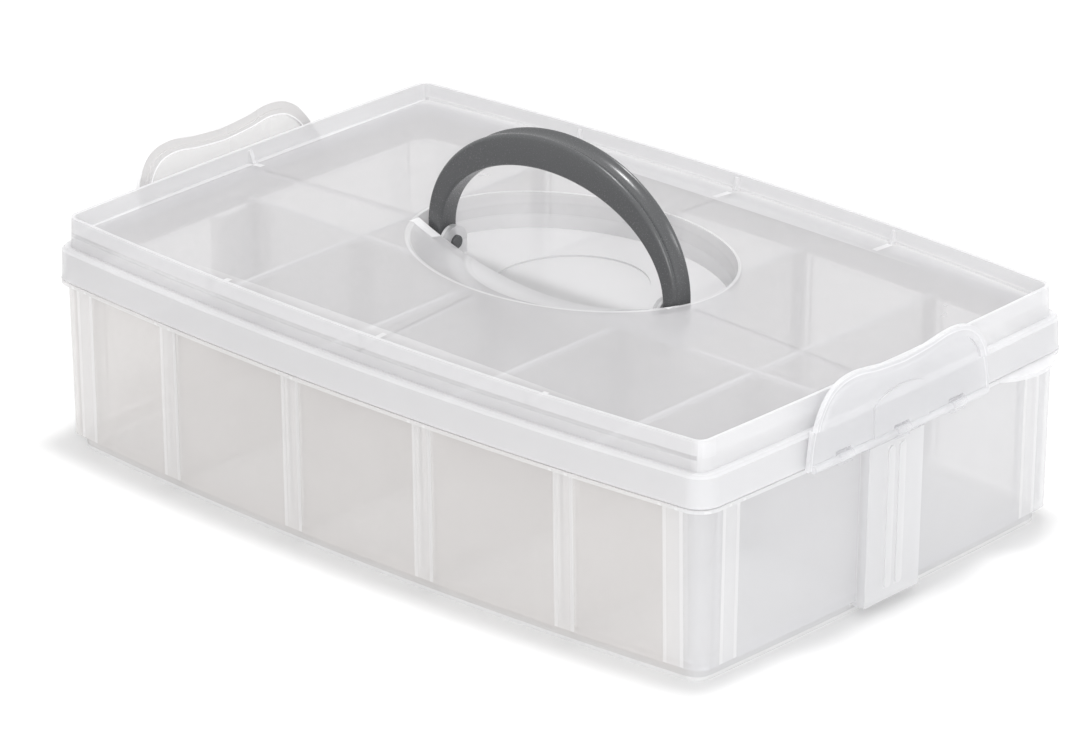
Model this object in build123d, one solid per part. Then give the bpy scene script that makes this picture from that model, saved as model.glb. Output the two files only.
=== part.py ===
from build123d import *

import math
import os

# Storage case for bobbins and small craft parts: a divided tray, a lift-off lid with a
# folding carry handle, and two flap latches at the short ends.
# Frame: millimetres, +Z up, origin at the middle of the tray's base, +X along the length.
# The outline of the lid's upper rim drives every other outline, as an offset from it.

# Plan outline of the lid's upper rim, corner to corner, and how far its sides bow outwards
RIM_LENGTH = 300.0
RIM_WIDTH = 186.0
LONG_BOW = 7.6
SHORT_BOW = 1.6
CORNER_RADIUS = 5.0
FOOT_CORNER_RADIUS = 8.5

# Moulded wall thicknesses
WALL = 1.6
LID_WALL = 1.4

# Tray: heights, and offsets of its outer face from the rim outline
FLOOR_TOP = 2.2
FOOT_HEIGHT = 5.6
FOOT_INSET_LOW = -2.3
FOOT_INSET_HIGH = -2.0
WALL_OFFSET_LOW = 0.6
WALL_OFFSET_HIGH = 1.8
TRAY_TOP = 75.5
INNER_STEP = 7.2
FLANGE_LOW = 64.4
FLANGE_HIGH = 65.8
FLANGE_OFFSET = 4.2
THUMB_TAB_X = 137.5
THUMB_TAB_Y = 73.0
THUMB_TAB_RADIUS = 23.5

# Divider grid: one long divider and four cross dividers on each side of it
DIVIDER_THICKNESS = 1.6
DIVIDER_TOP = 69.6
CROSS_PITCH = 62.5
CROSS_COUNT = 4
SLOT_WIDTH = 2.3
SLOT_RIB_WIDTH = 1.4
SLOT_RIB_DEPTH = 3.4
FLANK_RIB_WIDTH = 0.9
FLANK_RIB_OFFSET = 4.1
FLANK_RIB_DEPTH = 1.1
SLOT_RIB_TOP = 68.0
RIB_ROOT = 0.7
END_PLAY = 0.6

# Posts that stiffen the corners, and the raised column in the middle of each short wall
CORNER_POST_X = 139.5
CORNER_POST_Y = 80.0
CORNER_POST_WIDTH = 8.0
CORNER_POST_DEPTH = 1.1
COLUMN_HALF_WIDTH = 14.4
COLUMN_DEPTH = 3.6
COLUMN_LOW = 3.4
COLUMN_RIB_OFFSET = 2.9
COLUMN_RIB_WIDTH = 3.4
COLUMN_RIB_RISE = 0.5
COLUMN_RIB_LOW = 8.0
COLUMN_RIB_HIGH = 61.0

# Lid: heights, and offsets of its outer face from the rim outline
SKIRT_LOW = 66.2
SKIRT_SHOULDER_START = 76.8
SHOULDER = 78.0
RIM_TOP = 89.0
SKIRT_OFFSET_LOW = 4.0
SKIRT_OFFSET_HIGH = 3.7
UPPER_OFFSET = 0.4
PANEL_EDGE = 82.5
PANEL_CROWN = 4.5
PANEL_THICKNESS = 1.5
STIFFENER_WIDTH = 1.4
STIFFENER_DEPTH = 1.5
GUSSET_THICKNESS = 1.6
GUSSET_DEPTH = 3.6
GUSSET_TIP = 1.3
GUSSET_DROP = 1.2
GUSSET_FOOT = 81.6
GUSSET_PITCH = 75.0

# Handle recess in the lid: an oval with a flat floor behind the handle and a dish before it
RECESS_CENTRE_Y = 9.5
RECESS_HALF_LENGTH = 64.5
RECESS_HALF_WIDTH = 50.0
RECESS_RIM = 86.4
RECESS_FLOOR = 73.0
RECESS_DRAFT = 2.6
DISH_FLOOR = 72.2
DISH_RINGS = (0.2, 0.4, 0.6, 0.8, 1.0, 1.1)
SINK_CENTRE_Y = 8.0
SINK_HALF_LENGTH = 28.0
SINK_HALF_WIDTH = 30.0
SINK_FLOOR = 72.3
RECESS_FRONT_WALL_Y = -4.0
RECESS_SHELL = 1.6

# Carry handle: two half ellipses for its arch, and round feet on its hinge line
HANDLE_Y = 2.0
HANDLE_PIVOT_Z = 78.4
HANDLE_SPRING_Z = 84.0
HANDLE_OUTER_HALF_SPAN = 59.0
HANDLE_OUTER_RISE = 48.0
HANDLE_INNER_HALF_SPAN = 52.5
HANDLE_INNER_RISE = 35.0
HANDLE_DEPTH_TOP = 10.0
HANDLE_DEPTH_LEG = 9.0
HANDLE_EDGE = 1.1
HANDLE_HOLLOW = 1.0
HANDLE_SECTIONS = 25
PIN_DIAMETER = 5.0
PIN_BORE_DIAMETER = 5.16
BRACKET_INNER_X = 49.0
BRACKET_OUTER_X = 51.8
BRACKET_TOP = 84.2
PIN_END_X = 47.9

# Latches: a wavy flap on a rod that clips into lugs on the tray's flange
LATCH_AXIS_X = 158.4
LATCH_AXIS_Z = 66.4
LATCH_ROD_DIAMETER = 2.8
LATCH_ROD_LENGTH = 92.0
LUG_BORE_DIAMETER = 2.94
LUG_OUTER_RADIUS = 2.4
LUG_MOUTH = 2.2
LUG_MOUTH_DROOP = 30.0
LUG_ARM = 6.6
LUG_WIDTH = 7.0
LUG_PITCH = 30.0
LUG_GAP = 0.5
LATCH_INNER_X = 156.6
LATCH_THICKNESS = 1.6
LATCH_HALF_WIDTH = 48.2
LATCH_LOW = 66.0
LATCH_CREST = ((46.4, 78.0), (43.0, 87.0), (35.8, 93.9), (27.0, 95.9), (13.0, 94.4))
LATCH_SADDLE = (0.0, 93.5)
LATCH_LIP_WIDTH = 4.0
LATCH_LIP_LAP = 0.9
LATCH_LIP_RISE = 1.2
LATCH_LIP_LOW = 80.0
LATCH_PAD_LOW = 67.6
LATCH_PAD_SHOULDER = 78.0
LATCH_PAD_TOP = 83.5
LATCH_PAD_RISE = 0.6
LATCH_BEAD_REACH = 0.95
LATCH_BEAD_LOW = 78.4
LATCH_BEAD_HEIGHT = 2.1
LATCH_BEAD_HALF_LENGTH = 36.0
LEFT_LATCH_LEAN = 16.0

# Large sizes used only for cutting
BIG = 400.0
CUT_DEPTH = 40.0
OVERLAP = 1.0

# Rounds of settling where two side arcs cross; each is hundreds of times closer
CORNER_STEPS = 5


def arc_radius(chord, bow):
    """Radius of the arc that bows this far from its chord."""
    return (chord**2 / 4 + bow**2) / (2 * bow)


def long_side_y(x, offset):
    """Distance of a long side from the middle plane at x, for an outline moved outwards."""
    radius = arc_radius(RIM_LENGTH, LONG_BOW)
    centre = radius - RIM_WIDTH / 2 - LONG_BOW
    return math.sqrt((radius + offset) ** 2 - x**2) - centre


def short_side_x(y, offset):
    """Distance of a short side from the middle plane at y, for an outline moved outwards."""
    radius = arc_radius(RIM_WIDTH, SHORT_BOW)
    centre = radius - RIM_LENGTH / 2 - SHORT_BOW
    return math.sqrt((radius + offset) ** 2 - y**2) - centre


def outline(offset, z, corner=CORNER_RADIUS):
    """Face at height z inside the rim's outline, moved outwards by offset."""
    x = RIM_LENGTH / 2 + offset
    for _ in range(CORNER_STEPS):
        y = long_side_y(x, offset)
        x = short_side_x(y, offset)
    side_x = short_side_x(0, offset)
    side_y = long_side_y(0, offset)
    front = ThreePointArc((-x, -y), (0, -side_y), (x, -y))
    right = ThreePointArc((x, -y), (side_x, 0), (x, y))
    back = ThreePointArc((x, y), (0, side_y), (-x, y))
    left = ThreePointArc((-x, y), (-side_x, 0), (-x, -y))
    face = make_face([front, right, back, left])
    return Pos(0, 0, z) * fillet(face.vertices(), corner + offset)


def drafted(levels, corner=CORNER_RADIUS):
    """Solid through (z, offset) levels, with a straight draft between each pair."""
    solid = Part()
    for (z_low, offset_low), (z_high, offset_high) in zip(levels, levels[1:]):
        height = z_high - z_low
        draft = math.degrees(math.atan2(abs(offset_low - offset_high), height))
        wide = outline(max(offset_low, offset_high), 0, corner)
        piece = extrude(wide, height, taper=draft)
        if offset_high > offset_low:
            solid += Pos(0, 0, z_high) * mirror(piece, about=Plane.XY)
        else:
            solid += Pos(0, 0, z_low) * piece
    return solid


def block(x_low, x_high, y_low, y_high, z_low, z_high):
    """Box between two corners."""
    size = (x_high - x_low, y_high - y_low, z_high - z_low)
    centre = ((x_low + x_high) / 2, (y_low + y_high) / 2, (z_low + z_high) / 2)
    return Pos(*centre) * Box(*size)


def cross_positions():
    """X of the four cross dividers, even about the middle."""
    first = -CROSS_PITCH * (CROSS_COUNT - 1) / 2
    return [first + i * CROSS_PITCH for i in range(CROSS_COUNT)]


def wall_inside(z):
    """Offset of the inner face of the tray's wall at height z."""
    share = (z - INNER_STEP) / (TRAY_TOP - INNER_STEP)
    return WALL_OFFSET_LOW + share * (WALL_OFFSET_HIGH - WALL_OFFSET_LOW) - WALL


def tray_outside():
    """Foot and drafted walls of the tray as one solid."""
    foot = drafted([(0.0, FOOT_INSET_LOW), (FOOT_HEIGHT, FOOT_INSET_HIGH)], FOOT_CORNER_RADIUS)
    wall = drafted([(FOOT_HEIGHT, WALL_OFFSET_LOW), (TRAY_TOP, WALL_OFFSET_HIGH)])
    return foot + wall


def tray_cavity():
    """Room inside the tray, with the step over the foot, open at the top."""
    low, high = FOOT_INSET_LOW - WALL, FOOT_INSET_HIGH - WALL
    step = drafted([(FLOOR_TOP, low), (INNER_STEP, high)], FOOT_CORNER_RADIUS)
    top = TRAY_TOP + OVERLAP
    room = drafted([(INNER_STEP, wall_inside(INNER_STEP)), (top, wall_inside(top))])
    return step + room


def rib(reach, depth, low, high):
    """Rib against a wall: reach(offset) gives the wall's distance from the middle plane.

    A deep rib runs down to the floor, and a shallow one stands on the step over the foot.
    """
    ledge = INNER_STEP - RIB_ROOT
    points = [
        (reach(wall_inside(ledge) + RIB_ROOT), ledge),
        (reach(wall_inside(SLOT_RIB_TOP) + RIB_ROOT), SLOT_RIB_TOP),
        (reach(wall_inside(SLOT_RIB_TOP) - depth), SLOT_RIB_TOP),
    ]
    if depth == SLOT_RIB_DEPTH:
        foot = FLOOR_TOP - RIB_ROOT
        points += [
            (reach(wall_inside(foot) - depth), foot),
            (reach(FOOT_INSET_LOW - WALL + RIB_ROOT), foot),
            (reach(FOOT_INSET_HIGH - WALL + RIB_ROOT), ledge),
        ]
    else:
        points.append((reach(wall_inside(ledge) - depth), ledge))
    profile = Plane.YZ * make_face(Polyline(*points, close=True))
    return Pos(low, 0, 0) * extrude(profile, high - low)


def slot_group():
    """Spans across a slot: two deep ribs that hold the divider, and two shallow flanks."""
    deep = SLOT_WIDTH / 2
    flank = FLANK_RIB_OFFSET
    return [
        (deep, deep + SLOT_RIB_WIDTH, SLOT_RIB_DEPTH),
        (-deep - SLOT_RIB_WIDTH, -deep, SLOT_RIB_DEPTH),
        (flank, flank + FLANK_RIB_WIDTH, FLANK_RIB_DEPTH),
        (-flank - FLANK_RIB_WIDTH, -flank, FLANK_RIB_DEPTH),
    ]


def wall_ribs():
    """Divider slots on all four walls and the posts near the corners."""
    half = CORNER_POST_WIDTH / 2
    long_wall = [(x + low, x + high, d) for x in cross_positions() for low, high, d in slot_group()]
    long_wall += [(x - half, x + half, CORNER_POST_DEPTH) for x in (-CORNER_POST_X, CORNER_POST_X)]
    short_wall = slot_group()
    short_wall += [(y - half, y + half, CORNER_POST_DEPTH) for y in (-CORNER_POST_Y, CORNER_POST_Y)]
    ribs = []
    for low, high, depth in long_wall:
        middle = (low + high) / 2
        back = rib(lambda offset: long_side_y(middle, offset), depth, low, high)
        ribs += [back, mirror(back, about=Plane.XZ)]
    for low, high, depth in short_wall:
        middle = (low + high) / 2
        side = rib(lambda offset: short_side_x(middle, offset), depth, low, high)
        ribs += [Rot(0, 0, 90) * side, Rot(0, 0, -90) * side]
    return ribs


def end_columns():
    """Column down the middle of each short wall, hollow from below, with two ribs on its face."""
    low = WALL_OFFSET_LOW + COLUMN_DEPTH
    high = WALL_OFFSET_HIGH + COLUMN_DEPTH
    half = COLUMN_HALF_WIDTH
    inner = RIM_LENGTH / 2 - WALL
    column = drafted([(COLUMN_LOW, low), (FLANGE_LOW, high)])
    column &= block(inner, BIG, -half, half, COLUMN_LOW, FLANGE_LOW)
    face = drafted([(COLUMN_LOW, low + COLUMN_RIB_RISE), (FLANGE_LOW, high + COLUMN_RIB_RISE)])
    middle = (COLUMN_RIB_HIGH + COLUMN_RIB_LOW) / 2
    for y in (-COLUMN_RIB_OFFSET, COLUMN_RIB_OFFSET):
        slot = SlotOverall(COLUMN_RIB_HIGH - COLUMN_RIB_LOW, COLUMN_RIB_WIDTH, rotation=90)
        rib_prism = extrude(Plane.YZ * Pos(y, middle) * slot, 2 * RIM_LENGTH)
        column += face & rib_prism & block(RIM_LENGTH / 2, BIG, -half, half, 0, FLANGE_LOW)
    roof = FLANGE_LOW - WALL
    hollow = drafted([(COLUMN_LOW - OVERLAP, low - WALL), (roof, high - WALL)])
    hollow &= block(inner, BIG, WALL - half, half - WALL, 0, roof)
    column -= hollow - tray_outside()
    return column + mirror(column, about=Plane.YZ)


def flange():
    """Rim flange under the lid's skirt, with a rounded thumb tab near one back corner."""
    plate = drafted([(FLANGE_LOW, FLANGE_OFFSET - 0.1), (FLANGE_HIGH, FLANGE_OFFSET)])
    tab = Cylinder(THUMB_TAB_RADIUS, FLANGE_HIGH - FLANGE_LOW)
    return plate + Pos(THUMB_TAB_X, THUMB_TAB_Y, (FLANGE_LOW + FLANGE_HIGH) / 2) * tab


def hinge_lug(y):
    """Clip on the right end of the flange, open outwards and down, that holds a latch's rod."""
    ring = Cylinder(LUG_OUTER_RADIUS, LUG_WIDTH, rotation=(90, 0, 0))
    half = LUG_WIDTH / 2
    arm = block(-LUG_ARM, 0, -half, half, -LUG_OUTER_RADIUS, FLANGE_HIGH - LATCH_AXIS_Z)
    bore = Cylinder(LUG_BORE_DIAMETER / 2, 2 * LUG_WIDTH, rotation=(90, 0, 0))
    mouth = block(0, 2 * LUG_ARM, -LUG_WIDTH, LUG_WIDTH, -LUG_MOUTH / 2, LUG_MOUTH / 2)
    lug = ring + arm - bore - Rot(0, LUG_MOUTH_DROOP, 0) * mouth
    return Pos(LATCH_AXIS_X, y, LATCH_AXIS_Z) * lug


def lug_positions():
    """Y of the three hinge lugs on each short end."""
    return (-LUG_PITCH, 0.0, LUG_PITCH)


def make_tray():
    """Tray with its walls, ribs, columns, flange and hinge lugs."""
    body = tray_outside() + end_columns() + flange()
    body -= tray_cavity()
    lugs = [hinge_lug(y) for y in lug_positions()]
    lugs += [mirror(lug, about=Plane.YZ) for lug in lugs]
    return body + (wall_ribs() + lugs)


def divider_profile(reach, start):
    """Face from a start distance out to a wall, with play all round and a notch at the step."""
    ledge = INNER_STEP + END_PLAY
    points = [
        (start, FLOOR_TOP),
        (reach(FOOT_INSET_LOW - WALL - END_PLAY), FLOOR_TOP),
        (reach(FOOT_INSET_LOW - WALL - END_PLAY), ledge),
        (reach(wall_inside(ledge) - END_PLAY), ledge),
        (reach(wall_inside(DIVIDER_TOP) - END_PLAY), DIVIDER_TOP),
        (start, DIVIDER_TOP),
    ]
    return make_face(Polyline(*points, close=True))


def make_long_divider():
    """Divider along the middle of the tray, slotted into both short walls."""
    profile = divider_profile(lambda offset: short_side_x(0, offset), -OVERLAP)
    half = DIVIDER_THICKNESS / 2
    right = extrude(Plane.XZ * profile, half, both=True)
    ribs = []
    for x in cross_positions():
        for low, high, depth in slot_group():
            if depth == SLOT_RIB_DEPTH:
                ends = -half - depth, half + depth
                ribs.append(block(x + low, x + high, *ends, FLOOR_TOP, SLOT_RIB_TOP))
    return right + mirror(right, about=Plane.YZ) + ribs


def make_cross_divider(x, side):
    """Divider between the long divider and the front (side -1) or back (side 1) wall."""
    half = DIVIDER_THICKNESS / 2
    profile = divider_profile(lambda offset: long_side_y(abs(x) + half, offset), half + END_PLAY)
    sheet = Pos(x, 0, 0) * extrude(Plane.YZ * profile, half, both=True)
    return sheet if side > 0 else mirror(sheet, about=Plane.XZ)


def crowned(z_edge, thickness):
    """Slab above (or, if thickness is negative, below) a crowned surface level at the edges."""
    half_x = RIM_LENGTH / 2 + 5
    half_y = RIM_WIDTH / 2 + 12
    rows = []
    for x in (-half_x, 0, half_x):
        rows.append([(x, y, z_edge) for y in (-half_y, 0, half_y)])
    rows[1][1] = (0, 0, z_edge + 4 * PANEL_CROWN)
    surface = Face.make_bezier_surface(rows)
    return Part() + extrude(surface, abs(thickness), dir=(0, 0, math.copysign(1, thickness)))


def recess_ellipse(a, b, z):
    """Ellipse about the recess's centre at height z."""
    return Pos(0, RECESS_CENTRE_Y, z) * Ellipse(a, b)


def recess_well(grow=0.0):
    """Flat-floored part of the handle recess, behind its front wall, grown by a wall."""
    floor = RECESS_FLOOR - grow
    top = RIM_TOP + OVERLAP
    spread = RECESS_DRAFT * (top - RECESS_FLOOR) / (RECESS_RIM - RECESS_FLOOR)
    a = RECESS_HALF_LENGTH - RECESS_DRAFT + grow
    b = RECESS_HALF_WIDTH - RECESS_DRAFT + grow
    rings = [recess_ellipse(a, b, floor), recess_ellipse(a + spread, b + spread, top)]
    behind = block(-BIG, BIG, RECESS_FRONT_WALL_Y - grow, BIG, 0, BIG)
    return loft(rings, ruled=True) & behind


def recess_sink():
    """Shallow oval sink in the recess's floor, under the handle."""
    oval = Pos(0, SINK_CENTRE_Y, SINK_FLOOR) * Ellipse(SINK_HALF_LENGTH, SINK_HALF_WIDTH)
    behind = block(-BIG, BIG, RECESS_FRONT_WALL_Y, BIG, 0, BIG)
    return extrude(oval, RECESS_FLOOR + OVERLAP - SINK_FLOOR) & behind


def recess_dish(grow=0.0):
    """Bowl-shaped dish for the fingers, deeper with the square of the distance to its edge."""
    rings = []
    for share in DISH_RINGS:
        z = DISH_FLOOR + (RECESS_RIM - DISH_FLOOR) * share**2 - grow
        rings.append(recess_ellipse(RECESS_HALF_LENGTH * share + grow, RECESS_HALF_WIDTH * share + grow, z))
    return loft(rings)


def handle_bracket():
    """Wall beside the right leg with the bore that its hinge pin turns in."""
    radius = BRACKET_TOP - HANDLE_PIVOT_Z
    width = BRACKET_OUTER_X - BRACKET_INNER_X
    dome = Cylinder(radius, width, rotation=(0, 90, 0))
    low = RECESS_FLOOR - OVERLAP - HANDLE_PIVOT_Z
    front = RECESS_FRONT_WALL_Y - OVERLAP - HANDLE_Y
    post = block(-width / 2, width / 2, -radius, radius, low, 0)
    web = block(-width / 2, width / 2, front, 0, low, 0)
    bore = Cylinder(PIN_BORE_DIAMETER / 2, 2 * width, rotation=(0, 90, 0))
    middle = (BRACKET_INNER_X + BRACKET_OUTER_X) / 2
    return Pos(middle, HANDLE_Y, HANDLE_PIVOT_Z) * (dome + post + web - bore)


def gusset():
    """Small tapering web in the XZ plane, its back on the Z axis."""
    height = RIM_TOP - GUSSET_DROP - GUSSET_FOOT
    points = [(0, 0), (-GUSSET_DEPTH, 0), (-GUSSET_TIP, height), (0, height)]
    profile = Plane.XZ * make_face(Polyline(*points, close=True))
    return extrude(profile, GUSSET_THICKNESS / 2, both=True)


def rim_gussets():
    """Webs between the panel and the upright rim, three on each side and one at each end."""
    bury = -LID_WALL / 2
    webs = []
    for x in (-GUSSET_PITCH, 0, GUSSET_PITCH):
        back = Pos(x, long_side_y(x, bury), GUSSET_FOOT) * Rot(0, 0, 90) * gusset()
        webs += [back, mirror(back, about=Plane.XZ)]
    end = Pos(short_side_x(0, bury), 0, GUSSET_FOOT) * gusset()
    return webs + [end, mirror(end, about=Plane.YZ)]


def stiffeners():
    """Thin ribs under the panel along both middle planes, from the rim to the recess."""
    slab = crowned(PANEL_EDGE - PANEL_THICKNESS / 2, -STIFFENER_DEPTH - PANEL_THICKNESS / 2)
    half = STIFFENER_WIDTH / 2
    x_end = short_side_x(0, -LID_WALL / 2)
    y_end = long_side_y(0, -LID_WALL / 2)
    cross = block(-half, half, -y_end, y_end, 0, BIG) + block(-x_end, x_end, -half, half, 0, BIG)
    return slab & cross


def make_lid():
    """Lid: skirt, shoulder, upright rim, crowned panel, handle recess and brackets."""
    chamfer_offset = SKIRT_OFFSET_HIGH - SHOULDER + SKIRT_SHOULDER_START
    shell = drafted(
        [
            (SKIRT_LOW, SKIRT_OFFSET_LOW),
            (SKIRT_SHOULDER_START, SKIRT_OFFSET_HIGH),
            (SHOULDER, chamfer_offset),
        ]
    )
    shell += drafted([(SHOULDER, UPPER_OFFSET), (RIM_TOP, 0.0)])
    shell -= drafted(
        [
            (SKIRT_LOW - OVERLAP, SKIRT_OFFSET_LOW - LID_WALL),
            (SHOULDER - LID_WALL, SKIRT_OFFSET_HIGH - LID_WALL),
        ]
    )
    under = drafted([(SHOULDER - 2 * LID_WALL, UPPER_OFFSET - LID_WALL), (RIM_TOP, -LID_WALL)])
    shell -= under & crowned(PANEL_EDGE - PANEL_THICKNESS, -CUT_DEPTH)
    above = crowned(PANEL_EDGE, CUT_DEPTH)
    over = drafted([(PANEL_EDGE - OVERLAP, -LID_WALL), (RIM_TOP + OVERLAP, -LID_WALL)])
    shell -= over & above
    shell += [stiffeners()] + rim_gussets()
    shell += (recess_well(RECESS_SHELL) + recess_dish(RECESS_SHELL)) - above
    shell -= recess_well() + recess_dish() + recess_sink()
    bracket = handle_bracket()
    return shell + [bracket, mirror(bracket, about=Plane.YZ)]


def handle_section(angle):
    """Cross-section of the handle's arch where its radius leans by angle from +X."""
    inner = Vector(HANDLE_INNER_HALF_SPAN * math.cos(angle), 0, HANDLE_INNER_RISE * math.sin(angle))
    outer = Vector(HANDLE_OUTER_HALF_SPAN * math.cos(angle), 0, HANDLE_OUTER_RISE * math.sin(angle))
    across = outer - inner
    depth = HANDLE_DEPTH_LEG + (HANDLE_DEPTH_TOP - HANDLE_DEPTH_LEG) * math.sin(angle)
    plane = Plane(origin=inner, x_dir=across, z_dir=across.cross(Vector(0, 1, 0)))
    thickness, half, edge = across.length, depth / 2, HANDLE_EDGE
    trough = thickness - HANDLE_HOLLOW * math.sin(angle)
    side = [
        (0, half - edge),
        (edge, half),
        (thickness - edge / 2, half),
        (thickness, half - edge / 2),
        (trough, half / 2 - edge / 2),
    ]
    other_side = [(x, -y) for x, y in reversed(side)]
    return plane * make_face(Polyline(*side, *other_side, close=True))


def make_handle():
    """Arched carry handle with round feet and two inward hinge pins."""
    angles = [math.pi * i / (HANDLE_SECTIONS - 1) for i in range(HANDLE_SECTIONS)]
    sections = [handle_section(angle) for angle in angles]
    arch = Pos(0, 0, HANDLE_SPRING_Z) * loft(sections, ruled=True)
    thickness = HANDLE_OUTER_HALF_SPAN - HANDLE_INNER_HALF_SPAN
    middle = (HANDLE_OUTER_HALF_SPAN + HANDLE_INNER_HALF_SPAN) / 2
    drop = HANDLE_SPRING_Z - HANDLE_PIVOT_Z
    leg = Pos(middle, 0, HANDLE_PIVOT_Z + drop / 2) * Box(thickness, HANDLE_DEPTH_LEG, drop)
    leg = chamfer(leg.edges().filter_by(Axis.Z), HANDLE_EDGE / 2)
    foot = Cylinder(HANDLE_DEPTH_LEG / 2, thickness, rotation=(0, 90, 0))
    foot = chamfer(foot.edges(), HANDLE_EDGE / 2)
    leg += Pos(middle, 0, HANDLE_PIVOT_Z) * foot
    pin_length = HANDLE_INNER_HALF_SPAN + OVERLAP - PIN_END_X
    pin = Cylinder(PIN_DIAMETER / 2, pin_length, rotation=(0, 90, 0))
    leg += Pos(PIN_END_X + pin_length / 2, 0, HANDLE_PIVOT_Z) * pin
    return Pos(0, HANDLE_Y, 0) * (arch + leg + mirror(leg, about=Plane.YZ))


def latch_outline(inset=0.0):
    """Face in (Y, Z) of the latch's flap: sloped sides and a top edge with two humps."""
    other_half = [(-y, z) for y, z in reversed(LATCH_CREST)]
    crest = [*LATCH_CREST, LATCH_SADDLE, *other_half]
    moved = []
    for i, (y, z) in enumerate(crest):
        y_from, z_from = crest[max(i - 1, 0)]
        y_to, z_to = crest[min(i + 1, len(crest) - 1)]
        run = math.hypot(y_to - y_from, z_to - z_from)
        moved.append((y - inset * (z_to - z_from) / run, z - inset * (y_from - y_to) / run))
    low = LATCH_HALF_WIDTH - inset
    right = Line((low, LATCH_LOW), moved[0])
    left = Line(moved[-1], (-low, LATCH_LOW))
    return make_face([right, Spline(*moved), left, Line((-low, LATCH_LOW), (low, LATCH_LOW))])


def latch_pad():
    """Face in (Y, Z) of the raised pad in the middle of the latch."""
    height = LATCH_PAD_SHOULDER - LATCH_PAD_LOW
    tile = Pos(0, LATCH_PAD_LOW + height / 2) * Rectangle(2 * COLUMN_HALF_WIDTH, height)
    arch = Ellipse(COLUMN_HALF_WIDTH, LATCH_PAD_TOP - LATCH_PAD_SHOULDER)
    return tile + Pos(0, LATCH_PAD_SHOULDER) * arch


def make_right_latch():
    """Closed latch at the +X end: flap, joggled lip, pad, hook bead and hinge rod."""
    inner = Plane(origin=(LATCH_INNER_X, 0, 0), x_dir=(0, 1, 0), z_dir=(1, 0, 0))
    flap = extrude(inner * latch_outline(LATCH_LIP_WIDTH - LATCH_LIP_LAP), LATCH_THICKNESS)
    outer = inner.offset(LATCH_LIP_RISE)
    lip = extrude(outer * latch_outline(), LATCH_THICKNESS)
    lip -= extrude(outer * latch_outline(LATCH_LIP_WIDTH), LATCH_THICKNESS)
    lip &= block(0, BIG, -BIG, BIG, LATCH_LIP_LOW, BIG)
    lower = extrude(inner * latch_outline(), LATCH_THICKNESS)
    lower &= block(0, BIG, -BIG, BIG, 0, LATCH_LIP_LOW)
    pad = extrude(inner * latch_pad(), LATCH_THICKNESS + LATCH_PAD_RISE)
    root = LATCH_INNER_X + LATCH_THICKNESS / 2
    tip = LATCH_INNER_X - LATCH_BEAD_REACH
    bead_points = [
        (root, LATCH_BEAD_LOW),
        (tip, LATCH_BEAD_LOW),
        (tip, LATCH_BEAD_LOW + LATCH_BEAD_HEIGHT / 3),
        (LATCH_INNER_X, LATCH_BEAD_LOW + LATCH_BEAD_HEIGHT),
        (root, LATCH_BEAD_LOW + LATCH_BEAD_HEIGHT),
    ]
    bead_profile = Plane.XZ * make_face(Polyline(*bead_points, close=True))
    bead = extrude(bead_profile, LATCH_BEAD_HALF_LENGTH, both=True)
    latch = flap + [lip, lower, pad, bead]
    window_top = LATCH_AXIS_Z + LUG_OUTER_RADIUS + LUG_GAP
    half = LUG_WIDTH / 2 + LUG_GAP
    for y in lug_positions():
        latch -= block(0, BIG, y - half, y + half, 0, window_top)
    rod = Cylinder(LATCH_ROD_DIAMETER / 2, LATCH_ROD_LENGTH, rotation=(90, 0, 0))
    return latch + Pos(LATCH_AXIS_X, 0, LATCH_AXIS_Z) * rod


def make_left_latch(right_latch):
    """The other latch, mirrored and leaning open about its own rod."""
    closed = mirror(right_latch, about=Plane.YZ)
    axis = Axis((-LATCH_AXIS_X, 0, LATCH_AXIS_Z), (0, 1, 0))
    return closed.rotate(axis, -LEFT_LATCH_LEAN)


def make_parts():
    """All sub-parts by node name."""
    right_latch = make_right_latch()
    parts = {
        "tray": make_tray(),
        "lid": make_lid(),
        "carry_handle": make_handle(),
        "right_latch": right_latch,
        "left_latch": make_left_latch(right_latch),
        "long_divider": make_long_divider(),
    }
    for side, row in ((-1, "front"), (1, "back")):
        for number, x in enumerate(cross_positions(), 1):
            parts[f"cross_divider_{row}_{number}"] = make_cross_divider(x, side)
    return parts


os.makedirs("parts", exist_ok=True)
for name, solid in make_parts().items():
    export_step(solid, f"parts/{name}.step")
    box = solid.bounding_box()
    print(name, len(solid.solids()), round(solid.volume), box.min, box.max)
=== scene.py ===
"""Looks of the bobbin and craft-parts storage case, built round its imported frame."""

import logging
import math
from dataclasses import dataclass, field
from enum import Enum

import bmesh
import bpy
import numpy as np
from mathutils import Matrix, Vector


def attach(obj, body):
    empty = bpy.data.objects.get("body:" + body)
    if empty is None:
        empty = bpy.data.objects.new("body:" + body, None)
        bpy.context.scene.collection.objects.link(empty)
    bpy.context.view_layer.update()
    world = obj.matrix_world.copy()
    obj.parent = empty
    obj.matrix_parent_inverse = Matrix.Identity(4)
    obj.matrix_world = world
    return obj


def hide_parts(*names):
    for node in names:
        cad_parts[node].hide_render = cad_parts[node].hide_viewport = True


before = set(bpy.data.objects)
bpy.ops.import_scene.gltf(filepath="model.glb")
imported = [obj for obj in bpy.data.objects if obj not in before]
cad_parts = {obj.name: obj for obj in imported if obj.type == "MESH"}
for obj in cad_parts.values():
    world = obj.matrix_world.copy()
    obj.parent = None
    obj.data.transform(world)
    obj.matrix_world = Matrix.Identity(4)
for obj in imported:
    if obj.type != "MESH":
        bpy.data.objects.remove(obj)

LOG = logging.getLogger("storage_case")
MM = 0.001

CLOUDS_PER_METRE = 11.0
POLISH_WOBBLE = 0.12
MOST_HAZE = 0.97
LEAST_GAP = 0.00001
COARSE_SCALE_SHARE = 0.17


class Body(Enum):
    """The frame's rigid bodies that pieces ride on."""

    HANDLE = "handle_body"


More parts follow.
